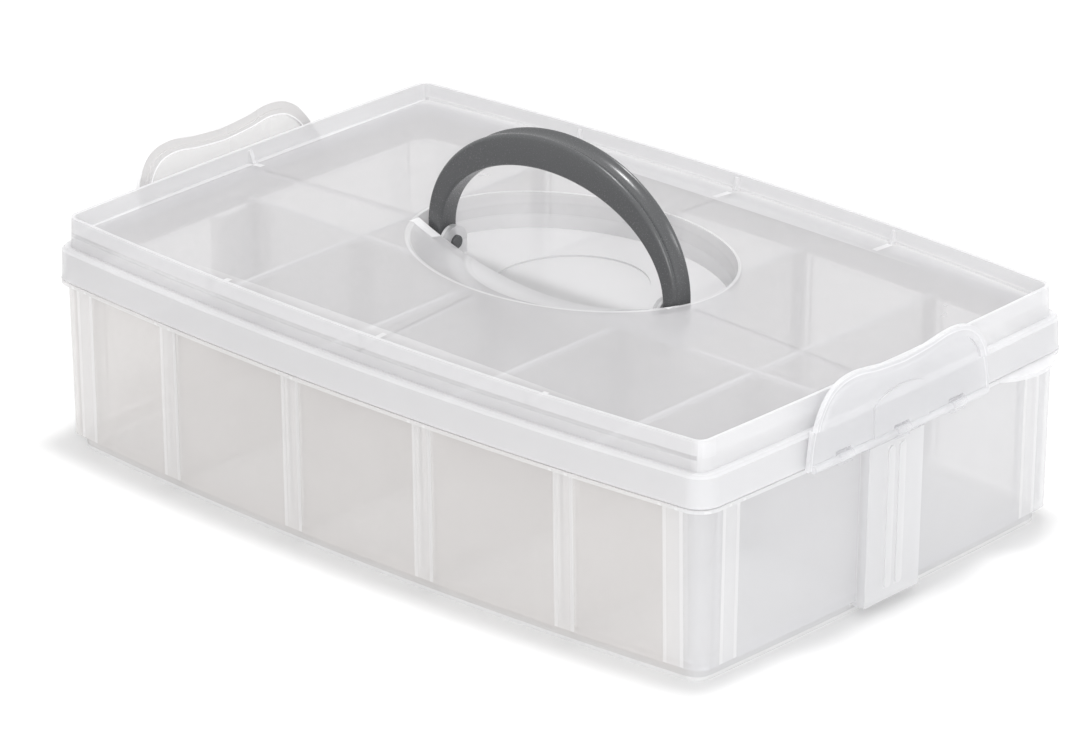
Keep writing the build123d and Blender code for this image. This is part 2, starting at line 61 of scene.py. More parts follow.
class Socket(Enum):
    """Kinds of socket on a shader node group."""

    NUMBER = "NodeSocketFloat"
    COLOUR = "NodeSocketColor"
    VECTOR = "NodeSocketVector"


@dataclass
class Sheet:
    """A node tree with short ways to add and join its nodes."""

    tree: bpy.types.NodeTree

    def add(self, kind: str, **settings: object) -> bpy.types.Node:
        """Adds a node.

        Args:
            kind: Blender's node type name.
            settings: attributes to set on it, such as operation.

        Returns:
            The new node.
        """
        node = self.tree.nodes.new(kind)
        for name, value in settings.items():
            setattr(node, name, value)
        return node

    def join(self, source: bpy.types.NodeSocket, target: bpy.types.NodeSocket) -> None:
        """Links source to target."""
        self.tree.links.new(source, target)

    def math(self, operation: str, *values: object) -> bpy.types.NodeSocket:
        """Adds a Math node.

        Args:
            operation: its operation, such as MULTIPLY.
            values: a socket or a number for each of its inputs.

        Returns:
            Its output socket.
        """
        node = self.add("ShaderNodeMath", operation=operation)
        for slot, value in zip(node.inputs, values):
            if isinstance(value, bpy.types.NodeSocket):
                self.join(value, slot)
            else:
                slot.default_value = value
        return node.outputs[0]

    def curve(self, value: bpy.types.NodeSocket, points: list[tuple[float, float]]) -> bpy.types.NodeSocket:
        """Maps value over a smooth curve through points.

        Args:
            value: the socket to map, 0 to 1.
            points: the curve's points, from left to right.

        Returns:
            The mapped value's socket.
        """
        node = self.add("ShaderNodeFloatCurve")
        line = node.mapping.curves[0]
        line.points[0].location = points[0]
        line.points[1].location = points[-1]
        for point in points[1:-1]:
            line.points.new(*point)
        node.mapping.update()
        self.join(value, node.inputs["Value"])
        return node.outputs[0]

    def fade(self, value: bpy.types.NodeSocket, low: float, high: float) -> bpy.types.NodeSocket:
        """Maps value smoothly from 0 at low to 1 at high.

        Args:
            value: the socket to map.
            low: where the result is 0.
            high: where the result is 1.

        Returns:
            The mapped value's socket.
        """
        node = self.add("ShaderNodeMapRange", interpolation_type="SMOOTHSTEP")
        self.join(value, node.inputs["Value"])
        node.inputs["From Min"].default_value = low
        node.inputs["From Max"].default_value = high
        return node.outputs[0]


@dataclass(frozen=True)
class LatchLeaf:
    """Outline of a latch's leaf when it stands upright, half of it, in metres."""

    low: float = 0.066
    high: float = 0.0960
    half_width: float = 0.0482
    crest: tuple[tuple[float, float], ...] = (
        (0.0, 0.0935),
        (0.0130, 0.0944),
        (0.0270, 0.0959),
        (0.0358, 0.0939),
        (0.0430, 0.0870),
        (0.0464, 0.0780),
        (0.0482, 0.0660),
    )

    def rise_by_width(self) -> list[tuple[float, float]]:
        """Crest points as shares of the half width and of the height."""
        span = self.high - self.low
        return [(aside / self.half_width, (up - self.low) / span) for aside, up in self.crest]

    def width_by_rise(self) -> list[tuple[float, float]]:
        """The outer run of the same points with both shares swapped, lowest first."""
        return [(up, aside) for aside, up in reversed(self.rise_by_width()[2:])]


def new_group(name: str, inputs: dict[str, tuple[Socket, object]], outputs: dict[str, Socket]) -> Sheet:
    """Starts a shader node group.

    Args:
        name: the group's name.
        inputs: kind and first value of each input by name.
        outputs: kind of each output by name.

    Returns:
        The group's sheet; its nodes "in" and "out" hold the sockets.
    """
    tree = bpy.data.node_groups.new(name, "ShaderNodeTree")
    for label, (kind, value) in inputs.items():
        socket = tree.interface.new_socket(label, in_out="INPUT", socket_type=kind.value)
        socket.default_value = value
    for label, kind in outputs.items():
        tree.interface.new_socket(label, in_out="OUTPUT", socket_type=kind.value)
    sheet = Sheet(tree)
    sheet.add("NodeGroupInput", name="in")
    sheet.add("NodeGroupOutput", name="out")
    return sheet


def milky_cloud_group() -> bpy.types.NodeTree:
    """Slow cloudiness of translucent plastic: where melt flowed, it is a little denser.

    Along X the colour drifts from the tint to the cool tint, and where Edge is 1 the plastic
    takes the highlight tint, a paler colour that paints highlights and painted light, and gets
    milkier by the edge gain. Where Shade is 1 it takes the shade tint, which is painted shade.

    Returns:
        The group, with Tint, Haze and Polish that change over the surface.
    """
    sheet = new_group(
        "milky_cloud",
        {
            "Tint": (Socket.COLOUR, (0.85, 0.85, 0.86, 1)),
            "Cool Tint": (Socket.COLOUR, (0.85, 0.85, 0.87, 1)),
            "Edge Tint": (Socket.COLOUR, (0.9, 0.9, 0.91, 1)),
            "Shade Tint": (Socket.COLOUR, (0.7, 0.7, 0.71, 1)),
            "Cool From": (Socket.NUMBER, 0.12),
            "Cool To": (Socket.NUMBER, 0.155),
            "Haze": (Socket.NUMBER, 0.2),
            "Unevenness": (Socket.NUMBER, 0.3),
            "Polish": (Socket.NUMBER, 0.35),
            "Edge": (Socket.NUMBER, 0.0),
            "Shade": (Socket.NUMBER, 0.0),
            "Edge Gain": (Socket.NUMBER, 0.3),
        },
        {"Tint": Socket.COLOUR, "Haze": Socket.NUMBER, "Polish": Socket.NUMBER},
    )
    given, out = sheet.tree.nodes["in"].outputs, sheet.tree.nodes["out"].inputs
    place = sheet.add("ShaderNodeTexCoord").outputs["Object"]
    flow = sheet.add("ShaderNodeTexNoise")
    flow.inputs["Scale"].default_value = CLOUDS_PER_METRE
    flow.inputs["Detail"].default_value = 3.0
    flow.inputs["Distortion"].default_value = 0.8
    sheet.join(place, flow.inputs["Vector"])
    centred = sheet.math("SUBTRACT", flow.outputs["Fac"], 0.5)
    swing = sheet.math("MULTIPLY_ADD", sheet.math("MULTIPLY", centred, given["Unevenness"]), 2.0, 1.0)
    haze = sheet.math("MULTIPLY", given["Haze"], swing)
    lit = sheet.math("MULTIPLY", given["Edge"], given["Edge Gain"])
    sheet.join(sheet.math("MINIMUM", sheet.math("ADD", haze, lit), MOST_HAZE), out["Haze"])
    split = sheet.add("ShaderNodeSeparateXYZ")
    sheet.join(place, split.inputs[0])
    span = sheet.math("SUBTRACT", given["Cool To"], given["Cool From"])
    along = sheet.math("DIVIDE", sheet.math("SUBTRACT", split.outputs["X"], given["Cool From"]), span)
    drift = sheet.add("ShaderNodeMix", data_type="RGBA")
    sheet.join(sheet.fade(along, 0.0, 1.0), drift.inputs["Factor"])
    sheet.join(given["Tint"], drift.inputs["A"])
    sheet.join(given["Cool Tint"], drift.inputs["B"])
    dim = sheet.add("ShaderNodeMix", data_type="RGBA")
    sheet.join(given["Shade"], dim.inputs["Factor"])
    sheet.join(drift.outputs["Result"], dim.inputs["A"])
    sheet.join(given["Shade Tint"], dim.inputs["B"])
    # Painted highlight and painted light: the Edge mask mixes in the paler highlight tint.
    mix = sheet.add("ShaderNodeMix", data_type="RGBA")
    sheet.join(given["Edge"], mix.inputs["Factor"])
    sheet.join(dim.outputs["Result"], mix.inputs["A"])
    sheet.join(given["Edge Tint"], mix.inputs["B"])
    sheet.join(mix.outputs["Result"], out["Tint"])
    wobble = sheet.math("MULTIPLY", centred, POLISH_WOBBLE)
    sheet.join(sheet.math("ADD", given["Polish"], wobble), out["Polish"])
    return sheet.tree


def mask_box_group() -> bpy.types.NodeTree:
    """Boxes on Object coordinates, repeated at a pitch, for rims, ribs, posts and brackets, which carry
    painted highlights, painted light and painted shade as well as milkier plastic.

    Along each of X, Y and Z the place is wrapped at the pitch round the first box's middle, and
    is inside within the half size of it and outside a soft step away. The mask is the product
    of the three.

    Returns:
        The group, with the boxes' mask.
    """
    inputs: dict[str, tuple[Socket, object]] = {"Soft": (Socket.NUMBER, 0.0006)}
    for axis in "XYZ":
        inputs[axis + " Middle"] = (Socket.NUMBER, 0.0)
        inputs[axis + " Half"] = (Socket.NUMBER, 1.0)
        inputs[axis + " Pitch"] = (Socket.NUMBER, 4.0)
    sheet = new_group("mask_box", inputs, {"Mask": Socket.NUMBER})
    given, out = sheet.tree.nodes["in"].outputs, sheet.tree.nodes["out"].inputs
    split = sheet.add("ShaderNodeSeparateXYZ")
    sheet.join(sheet.add("ShaderNodeTexCoord").outputs["Object"], split.inputs[0])
    inside = []
    for axis in "XYZ":
        half_pitch = sheet.math("MULTIPLY", given[axis + " Pitch"], 0.5)
        shifted = sheet.math("SUBTRACT", split.outputs[axis], given[axis + " Middle"])
        wrapped = sheet.math("WRAP", shifted, half_pitch, sheet.math("MULTIPLY", half_pitch, -1.0))
        past = sheet.math("SUBTRACT", sheet.math("ABSOLUTE", wrapped), given[axis + " Half"])
        inside.append(sheet.fade(sheet.math("DIVIDE", past, given["Soft"]), 1.0, 0.0))
    sheet.join(sheet.math("MULTIPLY", sheet.math("MULTIPLY", *inside[:2]), inside[2]), out["Mask"])
    return sheet.tree


def oval_group() -> bpy.types.NodeTree:
    """An upright oval on Object coordinates, such as the mouth of the handle recess.

    The reach is the root of the sum of the squares of X and Y, each from the middle and as a
    share of its half size. Rim is 1 where the reach is within the line's share of 1, and Inside
    is 1 where it is less than 1 and Y is behind the front.

    Returns:
        The group, with both masks.
    """
    sheet = new_group(
        "oval",
        {
            "Middle Y": (Socket.NUMBER, 0.0),
            "Half X": (Socket.NUMBER, 0.05),
            "Half Y": (Socket.NUMBER, 0.05),
            "Line Share": (Socket.NUMBER, 0.015),
            "Front Y": (Socket.NUMBER, -1.0),
        },
        {"Rim": Socket.NUMBER, "Inside": Socket.NUMBER},
    )
    given, out = sheet.tree.nodes["in"].outputs, sheet.tree.nodes["out"].inputs
    split = sheet.add("ShaderNodeSeparateXYZ")
    sheet.join(sheet.add("ShaderNodeTexCoord").outputs["Object"], split.inputs[0])
    share_x = sheet.math("DIVIDE", split.outputs["X"], given["Half X"])
    from_middle = sheet.math("SUBTRACT", split.outputs["Y"], given["Middle Y"])
    share_y = sheet.math("DIVIDE", from_middle, given["Half Y"])
    squares = sheet.math("ADD", sheet.math("POWER", share_x, 2.0), sheet.math("POWER", share_y, 2.0))
    past = sheet.math("SUBTRACT", sheet.math("SQRT", squares), 1.0)
    away = sheet.math("DIVIDE", sheet.math("ABSOLUTE", past), given["Line Share"])
    sheet.join(sheet.fade(away, 1.5, 0.8), out["Rim"])
    behind = sheet.fade(sheet.math("SUBTRACT", split.outputs["Y"], given["Front Y"]), -0.0005, 0.0005)
    sheet.join(sheet.math("MULTIPLY", sheet.fade(past, 0.0, -0.02), behind), out["Inside"])
    return sheet.tree


def crest_group() -> bpy.types.NodeTree:
    """Lip and painted highlight lines along the wavy edge of a latch, on Object coordinates.

    The height up the leaf is the place along Up less Foot. One curve gives the edge's height
    from the distance to the middle, the other its distance to the middle from the height, and
    from the two gaps v and h the distance to the edge is v h over the root of v squared plus h
    squared, as for a straight edge. Both curves run over the leaf's half width and height.

    Returns:
        The group, with Lip, a band below the edge, and Line, thin painted highlight lines at both its
        borders.
    """
    sheet = new_group(
        "crest",
        {
            "Up": (Socket.VECTOR, (0.0, 0.0, 1.0)),
            "Foot": (Socket.NUMBER, 0.0),
            "Lip Width": (Socket.NUMBER, 0.0046),
            "Line Width": (Socket.NUMBER, 0.0003),
        },
        {"Lip": Socket.NUMBER, "Line": Socket.NUMBER},
    )
    given, out = sheet.tree.nodes["in"].outputs, sheet.tree.nodes["out"].inputs
    place = sheet.add("ShaderNodeTexCoord").outputs["Object"]
    climb = sheet.add("ShaderNodeVectorMath", operation="DOT_PRODUCT")
    sheet.join(place, climb.inputs[0])
    sheet.join(given["Up"], climb.inputs[1])
    height = sheet.math("SUBTRACT", climb.outputs["Value"], given["Foot"])
    split = sheet.add("ShaderNodeSeparateXYZ")
    sheet.join(place, split.inputs[0])
    aside = sheet.math("ABSOLUTE", split.outputs["Y"])
    leaf = LatchLeaf()
    share_up = sheet.math("DIVIDE", sheet.math("SUBTRACT", height, leaf.low), leaf.high - leaf.low)
    share_aside = sheet.math("DIVIDE", aside, leaf.half_width)
    edge_up = sheet.curve(share_aside, leaf.rise_by_width())
    edge_aside = sheet.curve(share_up, leaf.width_by_rise())
    gap_up = sheet.math("MULTIPLY", sheet.math("SUBTRACT", edge_up, share_up), leaf.high - leaf.low)
    gap_aside = sheet.math("MULTIPLY", sheet.math("SUBTRACT", edge_aside, share_aside), leaf.half_width)
    gap_up = sheet.math("MAXIMUM", gap_up, LEAST_GAP)
    gap_aside = sheet.math("MAXIMUM", gap_aside, LEAST_GAP)
    squares = sheet.math("ADD", sheet.math("POWER", gap_up, 2.0), sheet.math("POWER", gap_aside, 2.0))
    gap = sheet.math("DIVIDE", sheet.math("MULTIPLY", gap_up, gap_aside), sheet.math("SQRT", squares))
    lip_share = sheet.math("DIVIDE", sheet.math("SUBTRACT", gap, given["Lip Width"]), given["Line Width"])
    sheet.join(sheet.fade(lip_share, 1.0, 0.0), out["Lip"])
    inner = sheet.fade(sheet.math("ABSOLUTE", lip_share), 1.4, 0.4)
    outer = sheet.fade(sheet.math("DIVIDE", gap, given["Line Width"]), 1.5, 0.9)
    sheet.join(sheet.math("MAXIMUM", inner, outer), out["Line"])
    return sheet.tree


def satin_grain_group() -> bpy.types.NodeTree:
    """Fine spark-eroded grain of a moulding: two sizes of noise added together.

    Returns:
        The group, with Height for a bump and Speck, a mask of its brighter grains.
    """
    sheet = new_group(
        "satin_grain",
        {
            "Scale": (Socket.NUMBER, 2500.0),
            "Coarse Share": (Socket.NUMBER, 0.4),
        },
        {"Height": Socket.NUMBER, "Speck": Socket.NUMBER},
    )
    given, out = sheet.tree.nodes["in"].outputs, sheet.tree.nodes["out"].inputs
    place = sheet.add("ShaderNodeTexCoord").outputs["Object"]
    fine = sheet.add("ShaderNodeTexNoise")
    fine.inputs["Detail"].default_value = 2.0
    sheet.join(place, fine.inputs["Vector"])
    sheet.join(given["Scale"], fine.inputs["Scale"])
    coarse = sheet.add("ShaderNodeTexNoise")
    coarse.inputs["Detail"].default_value = 1.0
    sheet.join(place, coarse.inputs["Vector"])
    sheet.join(sheet.math("MULTIPLY", given["Scale"], COARSE_SCALE_SHARE), coarse.inputs["Scale"])
    part = sheet.math("MULTIPLY", coarse.outputs["Fac"], given["Coarse Share"])
    sheet.join(sheet.math("ADD", fine.outputs["Fac"], part), out["Height"])
    sheet.join(sheet.fade(fine.outputs["Fac"], 0.52, 0.75), out["Speck"])
    return sheet.tree


@dataclass
class EffectShelf:
    """The shader groups that several finishes share, each built once."""

    milky_cloud: bpy.types.NodeTree = field(default_factory=milky_cloud_group)
    mask_box: bpy.types.NodeTree = field(default_factory=mask_box_group)
    crest: bpy.types.NodeTree = field(default_factory=crest_group)
    oval: bpy.types.NodeTree = field(default_factory=oval_group)
    satin_grain: bpy.types.NodeTree = field(default_factory=satin_grain_group)


def place_group(sheet: Sheet, group: bpy.types.NodeTree, **values: object) -> bpy.types.Node:
    """Puts a group into a material.

    Args:
        sheet: the material's sheet.
        group: the group to place.
        values: first values of its inputs, with _ for a blank in the name.

    Returns:
        The group's node.
    """
    node = sheet.add("ShaderNodeGroup", node_tree=group)
    for label, value in values.items():
        node.inputs[label.replace("_", " ")].default_value = value
    return node


@dataclass(frozen=True)
class Band:
    """A stretch along one axis, repeated at a pitch, in metres."""

    middle: float = 0.0
    half: float = 1.0
    pitch: float = 4.0


ANYWHERE = Band()


@dataclass(frozen=True)
class MaskBox:
    """Where a moulding is thicker and so milkier, where it takes painted highlights and painted light,
    where it lies in the shade of the others and takes painted shade, and where it is clearer.
    """

    x: Band = ANYWHERE
    y: Band = ANYWHERE
    z: Band = ANYWHERE
    strength: float = 1.0
    soft: float = 0.0006

    def mask(self, sheet: Sheet, shelf: EffectShelf) -> bpy.types.NodeSocket:
        """Places the boxes in a material.

        Args:
            sheet: the material's sheet.
            shelf: the shared effects.

        Returns:
            The mask's socket: the strength inside a box and 0 outside.
        """
        node = place_group(sheet, shelf.mask_box, Soft=self.soft)
        for axis, band in (("X", self.x), ("Y", self.y), ("Z", self.z)):
            node.inputs[axis + " Middle"].default_value = band.middle
            node.inputs[axis + " Half"].default_value = band.half
            node.inputs[axis + " Pitch"].default_value = band.pitch
        return sheet.math("MULTIPLY", node.outputs["Mask"], self.strength)


@dataclass(frozen=True)
class RecessMouth:
    """The oval mouth of the handle recess: a painted highlight along its edge, and milkier walls inside it
    with painted light.
    """

    middle_y: float = 0.0095
    half_x: float = 0.0645
    half_y: float = 0.0500
    front_y: float = -0.0045
    rim_strength: float = 0.3
    inside_strength: float = 0.22

    def mask(self, sheet: Sheet, shelf: EffectShelf) -> bpy.types.NodeSocket:
        """Places the oval in a material.

        Args:
            sheet: the material's sheet.
            shelf: the shared effects.

        Returns:
            The mask's socket.
        """
        node = place_group(
            sheet,
            shelf.oval,
            Middle_Y=self.middle_y,
            Half_X=self.half_x,
            Half_Y=self.half_y,
            Front_Y=self.front_y,
        )
        rim = sheet.math("MULTIPLY", node.outputs["Rim"], self.rim_strength)
        inside = sheet.math("MULTIPLY", node.outputs["Inside"], self.inside_strength)
        return sheet.math("MAXIMUM", rim, inside)


@dataclass(frozen=True)
class Lean:
    """How far a latch leans out about its hinge line as it is stored in the frame."""

    side: int
    degrees: float
    lip_width: float
    highlight_line_strength: float
    axis_x: float = 0.1584
    axis_z: float = 0.0664

    def crest(self, sheet: Sheet, shelf: EffectShelf) -> bpy.types.Node:
        """Places the crest group for this latch.

        Args:
            sheet: the material's sheet.
            shelf: the shared effects.

        Returns:
            The group's node.
        """
        turn = math.radians(self.degrees)
        up = (self.side * math.sin(turn), 0.0, math.cos(turn))
        foot = self.side * self.axis_x * up[0] + self.axis_z * up[2] - self.axis_z
        return place_group(sheet, shelf.crest, Up=up, Foot=foot, Lip_Width=self.lip_width)


@dataclass(frozen=True)
class MilkyPlastic:
    """Translucent polypropylene: a thin haze that lets what lies behind show through."""

    name: str
    tint: tuple[float, float, float]
    cool_tint: tuple[float, float, float]
    highlight_tint: tuple[float, float, float]
    shade_tint: tuple[float, float, float]
    haze: float
    unevenness: float
    polish: float
    edge_gain: float
    cool_from: float = 0.135
    cool_to: float = 0.149
    # Places that get milkier and take the highlight tint: painted highlights along edges, painted light on
    # some walls, and thicker plastic.
    thick_and_highlit: tuple[MaskBox | RecessMouth, ...] = ()
    shaded: tuple[MaskBox, ...] = ()
    clear: tuple[MaskBox, ...] = ()
    lean: Lean | None = None
    lip_gain: float = 0.25

    def strongest(self, sheet: Sheet, masks: list[bpy.types.NodeSocket]) -> bpy.types.NodeSocket:
        """Largest of several masks.

        Args:
            sheet: the material's sheet.
            masks: one or more masks.

        Returns:
            Their maximum's socket.
        """
        most = masks[0]
        for mask in masks[1:]:
            most = sheet.math("MAXIMUM", most, mask)
        return most

    def material(self, shelf: EffectShelf) -> bpy.types.Material:
        """Builds the finish.

        Args:
            shelf: the shared effects.

        Returns:
            The material.
        """
        made = bpy.data.materials.new(self.name)
        made.use_nodes = True
        sheet = Sheet(made.node_tree)
        shader = made.node_tree.nodes["Principled BSDF"]
        shader.inputs["IOR"].default_value = 1.49
        cloud = place_group(
            sheet,
            shelf.milky_cloud,
            Tint=(*self.tint, 1),
            Cool_Tint=(*self.cool_tint, 1),
            Edge_Tint=(*self.highlight_tint, 1),
            Shade_Tint=(*self.shade_tint, 1),
            Haze=self.haze,
            Unevenness=self.unevenness,
            Polish=self.polish,
            Edge_Gain=self.edge_gain,
            Cool_From=self.cool_from,
            Cool_To=self.cool_to,
        )
        # Painted highlights and painted light: these places and the crest lines take the paler highlight
        # tint.
        edges = [place.mask(sheet, shelf) for place in self.thick_and_highlit]
        haze = cloud.outputs["Haze"]
        if self.lean is not None:
            crest = self.lean.crest(sheet, shelf)
            edges.append(sheet.math("MULTIPLY", crest.outputs["Line"], self.lean.highlight_line_strength))
            lip = sheet.math("MULTIPLY", crest.outputs["Lip"], self.lip_gain)
            haze = sheet.math("ADD", haze, lip)
        if self.clear:
            clears = [place.mask(sheet, shelf) for place in self.clear]
            left = sheet.math("SUBTRACT", 1.0, self.strongest(sheet, clears))
            haze = sheet.math("MULTIPLY", haze, left)
        if edges:
            sheet.join(self.strongest(sheet, edges), cloud.inputs["Edge"])
        if self.shaded:
            shades = [place.mask(sheet, shelf) for place in self.shaded]
            sheet.join(self.strongest(sheet, shades), cloud.inputs["Shade"])
        sheet.join(cloud.outputs["Tint"], shader.inputs["Base Color"])
        sheet.join(haze, shader.inputs["Alpha"])
        sheet.join(cloud.outputs["Polish"], shader.inputs["Roughness"])
        return made


@dataclass(frozen=True)
class CharcoalSatin:
    """Charcoal handle plastic with a fine grain and a soft sheen."""

    name: str = "charcoal_satin"
    dark: tuple[float, float, float] = (0.082, 0.084, 0.087)
    pale: tuple[float, float, float] = (0.108, 0.110, 0.114)
    roughness: float = 0.24
    speck_roughness: float = 0.05
    bump_strength: float = 0.06
    bump_distance: float = 0.00008

    def material(self, shelf: EffectShelf) -> bpy.types.Material:
        """Builds the finish.

        Args:
            shelf: the shared effects.

        Returns:
            The material.
        """
        made = bpy.data.materials.new(self.name)
        made.use_nodes = True
        sheet = Sheet(made.node_tree)
        shader = made.node_tree.nodes["Principled BSDF"]
        shader.inputs["IOR"].default_value = 1.5
        grain = place_group(sheet, shelf.satin_grain)
        mix = sheet.add("ShaderNodeMix", data_type="RGBA")
        sheet.join(grain.outputs["Speck"], mix.inputs["Factor"])
        mix.inputs["A"].default_value = (*self.dark, 1)
        mix.inputs["B"].default_value = (*self.pale, 1)
        sheet.join(mix.outputs["Result"], shader.inputs["Base Color"])
        rough = sheet.math("MULTIPLY_ADD", grain.outputs["Speck"], self.speck_roughness, self.roughness)
        sheet.join(rough, shader.inputs["Roughness"])
        bump = sheet.add("ShaderNodeBump")
        bump.inputs["Strength"].default_value = self.bump_strength
        bump.inputs["Distance"].default_value = self.bump_distance
        sheet.join(grain.outputs["Height"], bump.inputs["Height"])
        sheet.join(bump.outputs["Normal"], shader.inputs["Normal"])
        return made


def dress(name: str, material: bpy.types.Material) -> None:
    """Gives a CAD node its finish.

    Args:
        name: the node's name.
        material: its finish.
    """
    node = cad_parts[name]
    node.data.materials.clear()
    node.data.materials.append(material)
    LOG.info("dressed %s in %s", name, material.name)


def grid_faces(rows: int, columns: int) -> np.ndarray:
    """Quads of a tube of rings: rows of points that each close on themselves.

    Args:
        rows: rings along the tube.
        columns: points round each ring.

    Returns:
        Vertex numbers, four to a face.
    """
    i = np.arange(rows - 1)[:, None]
    j = np.arange(columns)[None, :]
    beside = (j + 1) % columns
    corners = [i * columns + j, (i + 1) * columns + j, (i + 1) * columns + beside, i * columns + beside]
    return np.stack(np.broadcast_arrays(*corners), -1).reshape(-1, 4)


@dataclass
class Shell:
    """A closed tube of rings, both ends drawn to a point in the middle of the last ring."""

    rings: np.ndarray

    def points(self) -> np.ndarray:
        """The rings' points and the two end points, in metres."""
        ends = np.stack([self.rings[0].mean(0), self.rings[-1].mean(0)])
        return np.concatenate([self.rings.reshape(-1, 3), ends]) * MM

    def faces(self) -> list[list[int]]:
        """Quads along the tube, and a fan of triangles over each end.

        Returns:
            Vertex numbers of each face.
        """
        rows, columns = self.rings.shape[:2]
        first = np.arange(columns)
        after = (first + 1) % columns
        last = (rows - 1) * columns
        start_tip = np.full(columns, rows * columns)
        near = np.stack([start_tip, first, after], -1)
        far = np.stack([start_tip + 1, last + after, last + first], -1)
        return grid_faces(rows, columns).tolist() + near.tolist() + far.tolist()


def make_piece(name: str, shells: list[Shell], material: bpy.types.Material) -> bpy.types.Object:
    """Makes one smooth mesh object from closed shells.

    Args:
        name: the piece's name.
        shells: its closed surfaces.
        material: its finish.

    Returns:
        The object, at the origin.
    """
    points: list[np.ndarray] = []
    faces: list[list[int]] = []
    start = 0
    for shell in shells:
        own = shell.points()
        faces.extend([[number + start for number in face] for face in shell.faces()])
        points.append(own)
        start += len(own)
    mesh = bpy.data.meshes.new(name)
    mesh.from_pydata(np.concatenate(points).tolist(), [], faces)
    mesh.validate()
    build = bmesh.new()
    build.from_mesh(mesh)
    bmesh.ops.recalc_face_normals(build, faces=build.faces)
    build.to_mesh(mesh)
    build.free()
    mesh.polygons.foreach_set("use_smooth", np.ones(len(mesh.polygons), bool))
    mesh.materials.append(material)
    piece = bpy.data.objects.new(name, mesh)
    bpy.context.scene.collection.objects.link(piece)
    return piece


@dataclass
class CarryHandle:
    """The arched handle: two quarter arches, straight legs, round feet and hinge pins."""

    hinge_y: float = 2.0
    hinge_z: float = 78.4
    spring_z: float = 84.0
    outer_half_span: float = 59.0
    outer_rise: float = 47.2
    inner_half_span: float = 52.5
    inner_rise: float = 35.0
    depth_top: float = 10.4
    depth_leg: float = 9.0
    hollow: float = 1.8
    round_edge: float = 1.4
    foot_radius: float = 4.6
    pin_radius: float = 2.5
    pin_end: float = 47.9
    foot_soft: float = 0.8
    pin_soft: float = 0.4
    leg_hollow_share: float = 0.25
    hollow_rise: float = 1.5
    arch_steps: int = 140
    leg_steps: int = 10
    edge_steps: int = 8
    trough_steps: int = 17
    turn_steps: int = 48

    def section(self, width: np.ndarray, depth: np.ndarray, sink: np.ndarray) -> np.ndarray:
        """Rounded rectangle across the handle, its outer side hollowed.

        Round each corner the point runs over a quarter circle of the edge radius; between the
        corners of the outer side it sinks by the hollow times one minus the square of its
        distance from the middle, so that side is a trough between two crisp edges.

        Args:
            width: inner to outer size at each step along the path.
            depth: front to back size at each step.
            sink: depth of the trough at each step.

        Returns:
            Steps by points by (outwards, sideways), in millimetres.
        """
        e = self.round_edge
        turn = np.linspace(0, math.pi / 2, self.edge_steps)
        quarter = np.stack([np.cos(turn), np.sin(turn)], -1) * e
        flip = np.array([[0, -1], [1, 0]])
        w, h = width[:, None, None], depth[:, None, None] / 2
        corners = []
        for k, (sx, sy) in enumerate(((1, 1), (0, 1), (0, -1), (1, -1))):
            arc = quarter @ np.linalg.matrix_power(flip, k).T
            centre_x = np.where(sx, w - e, e)
            centre_y = sy * (h - e)
            corners.append(np.concatenate([centre_x + arc[None, :, :1], centre_y + arc[None, :, 1:]], -1))
        trough = np.linspace(-1, 1, self.trough_steps)[1:-1][None, :, None]
        across = trough * (h - e)
        outwards = w - sink[:, None, None] * (1 - trough**2)
        corners.append(np.concatenate([np.broadcast_to(outwards, across.shape), across], -1))
        return np.concatenate(corners, 1)

    def bow(self) -> Shell:
        """Legs and arch as one closed tube.

        The inner edge follows a half ellipse, the outer edge a wider and taller one, and the
        rounded section is spread between the two points of the same angle. Below the
        springing both run straight down to the hinge line. The trough starts as a share of the
        hollow on the legs and reaches all of it as the sine of the angle grows.

        Returns:
            The tube.
        """
        angle = np.linspace(0, math.pi, self.arch_steps)
        across_x, up = np.cos(angle), np.sin(angle)
        inner = np.stack([self.inner_half_span * across_x, self.spring_z + self.inner_rise * up], -1)
        outer = np.stack([self.outer_half_span * across_x, self.spring_z + self.outer_rise * up], -1)
        drop = np.linspace(self.hinge_z, self.spring_z, self.leg_steps, endpoint=False)
        stand = np.ones_like(drop)
        right_in = np.stack([self.inner_half_span * stand, drop], -1)
        right_out = np.stack([self.outer_half_span * stand, drop], -1)
        mirror = np.array([-1, 1])
        inner = np.concatenate([right_in, inner, right_in[::-1] * mirror])
        outer = np.concatenate([right_out, outer, right_out[::-1] * mirror])
        bend = np.concatenate([np.zeros_like(drop), up, np.zeros_like(drop)])
        across = outer - inner
        width = np.linalg.norm(across, axis=1)
        depth = self.depth_leg + (self.depth_top - self.depth_leg) * bend
        sink = self.hollow * np.minimum(1, self.leg_hollow_share + bend * self.hollow_rise)
        shape = self.section(width, depth, sink)
        out = (across / width[:, None])[:, None, :]
        flat = inner[:, None, :] + out * shape[:, :, :1]
        return Shell(np.stack([flat[..., 0], self.hinge_y + shape[..., 1], flat[..., 1]], -1))

    def disc(self, side: int, low: float, high: float, radius: float, soft: float) -> Shell:
        """Round boss about the hinge line, with softened rims.

        The profile runs out to the radius and back at the other end, rounded by the soft
        radius, and turns once about the hinge line.

        Args:
            side: 1 for the right leg's, -1 for the left leg's.
            low: X of one end.
            high: X of the other end.
            radius: its radius.
            soft: radius of its rims.

        Returns:
            The boss.
        """
        turn = np.linspace(0, math.pi / 2, self.edge_steps)
        start = np.stack([low + soft - soft * np.cos(turn), radius - soft + soft * np.sin(turn)], -1)
        end = np.stack([high - soft + soft * np.sin(turn), radius - soft + soft * np.cos(turn)], -1)
        profile = np.concatenate([start, end])
        around = np.linspace(0, 2 * math.pi, self.turn_steps, endpoint=False)
        x = np.broadcast_to(side * profile[:, :1], (len(profile), self.turn_steps))
        y = self.hinge_y + profile[:, 1:] * np.cos(around)
        z = self.hinge_z + profile[:, 1:] * np.sin(around)
        return Shell(np.stack([x, y, z], -1))

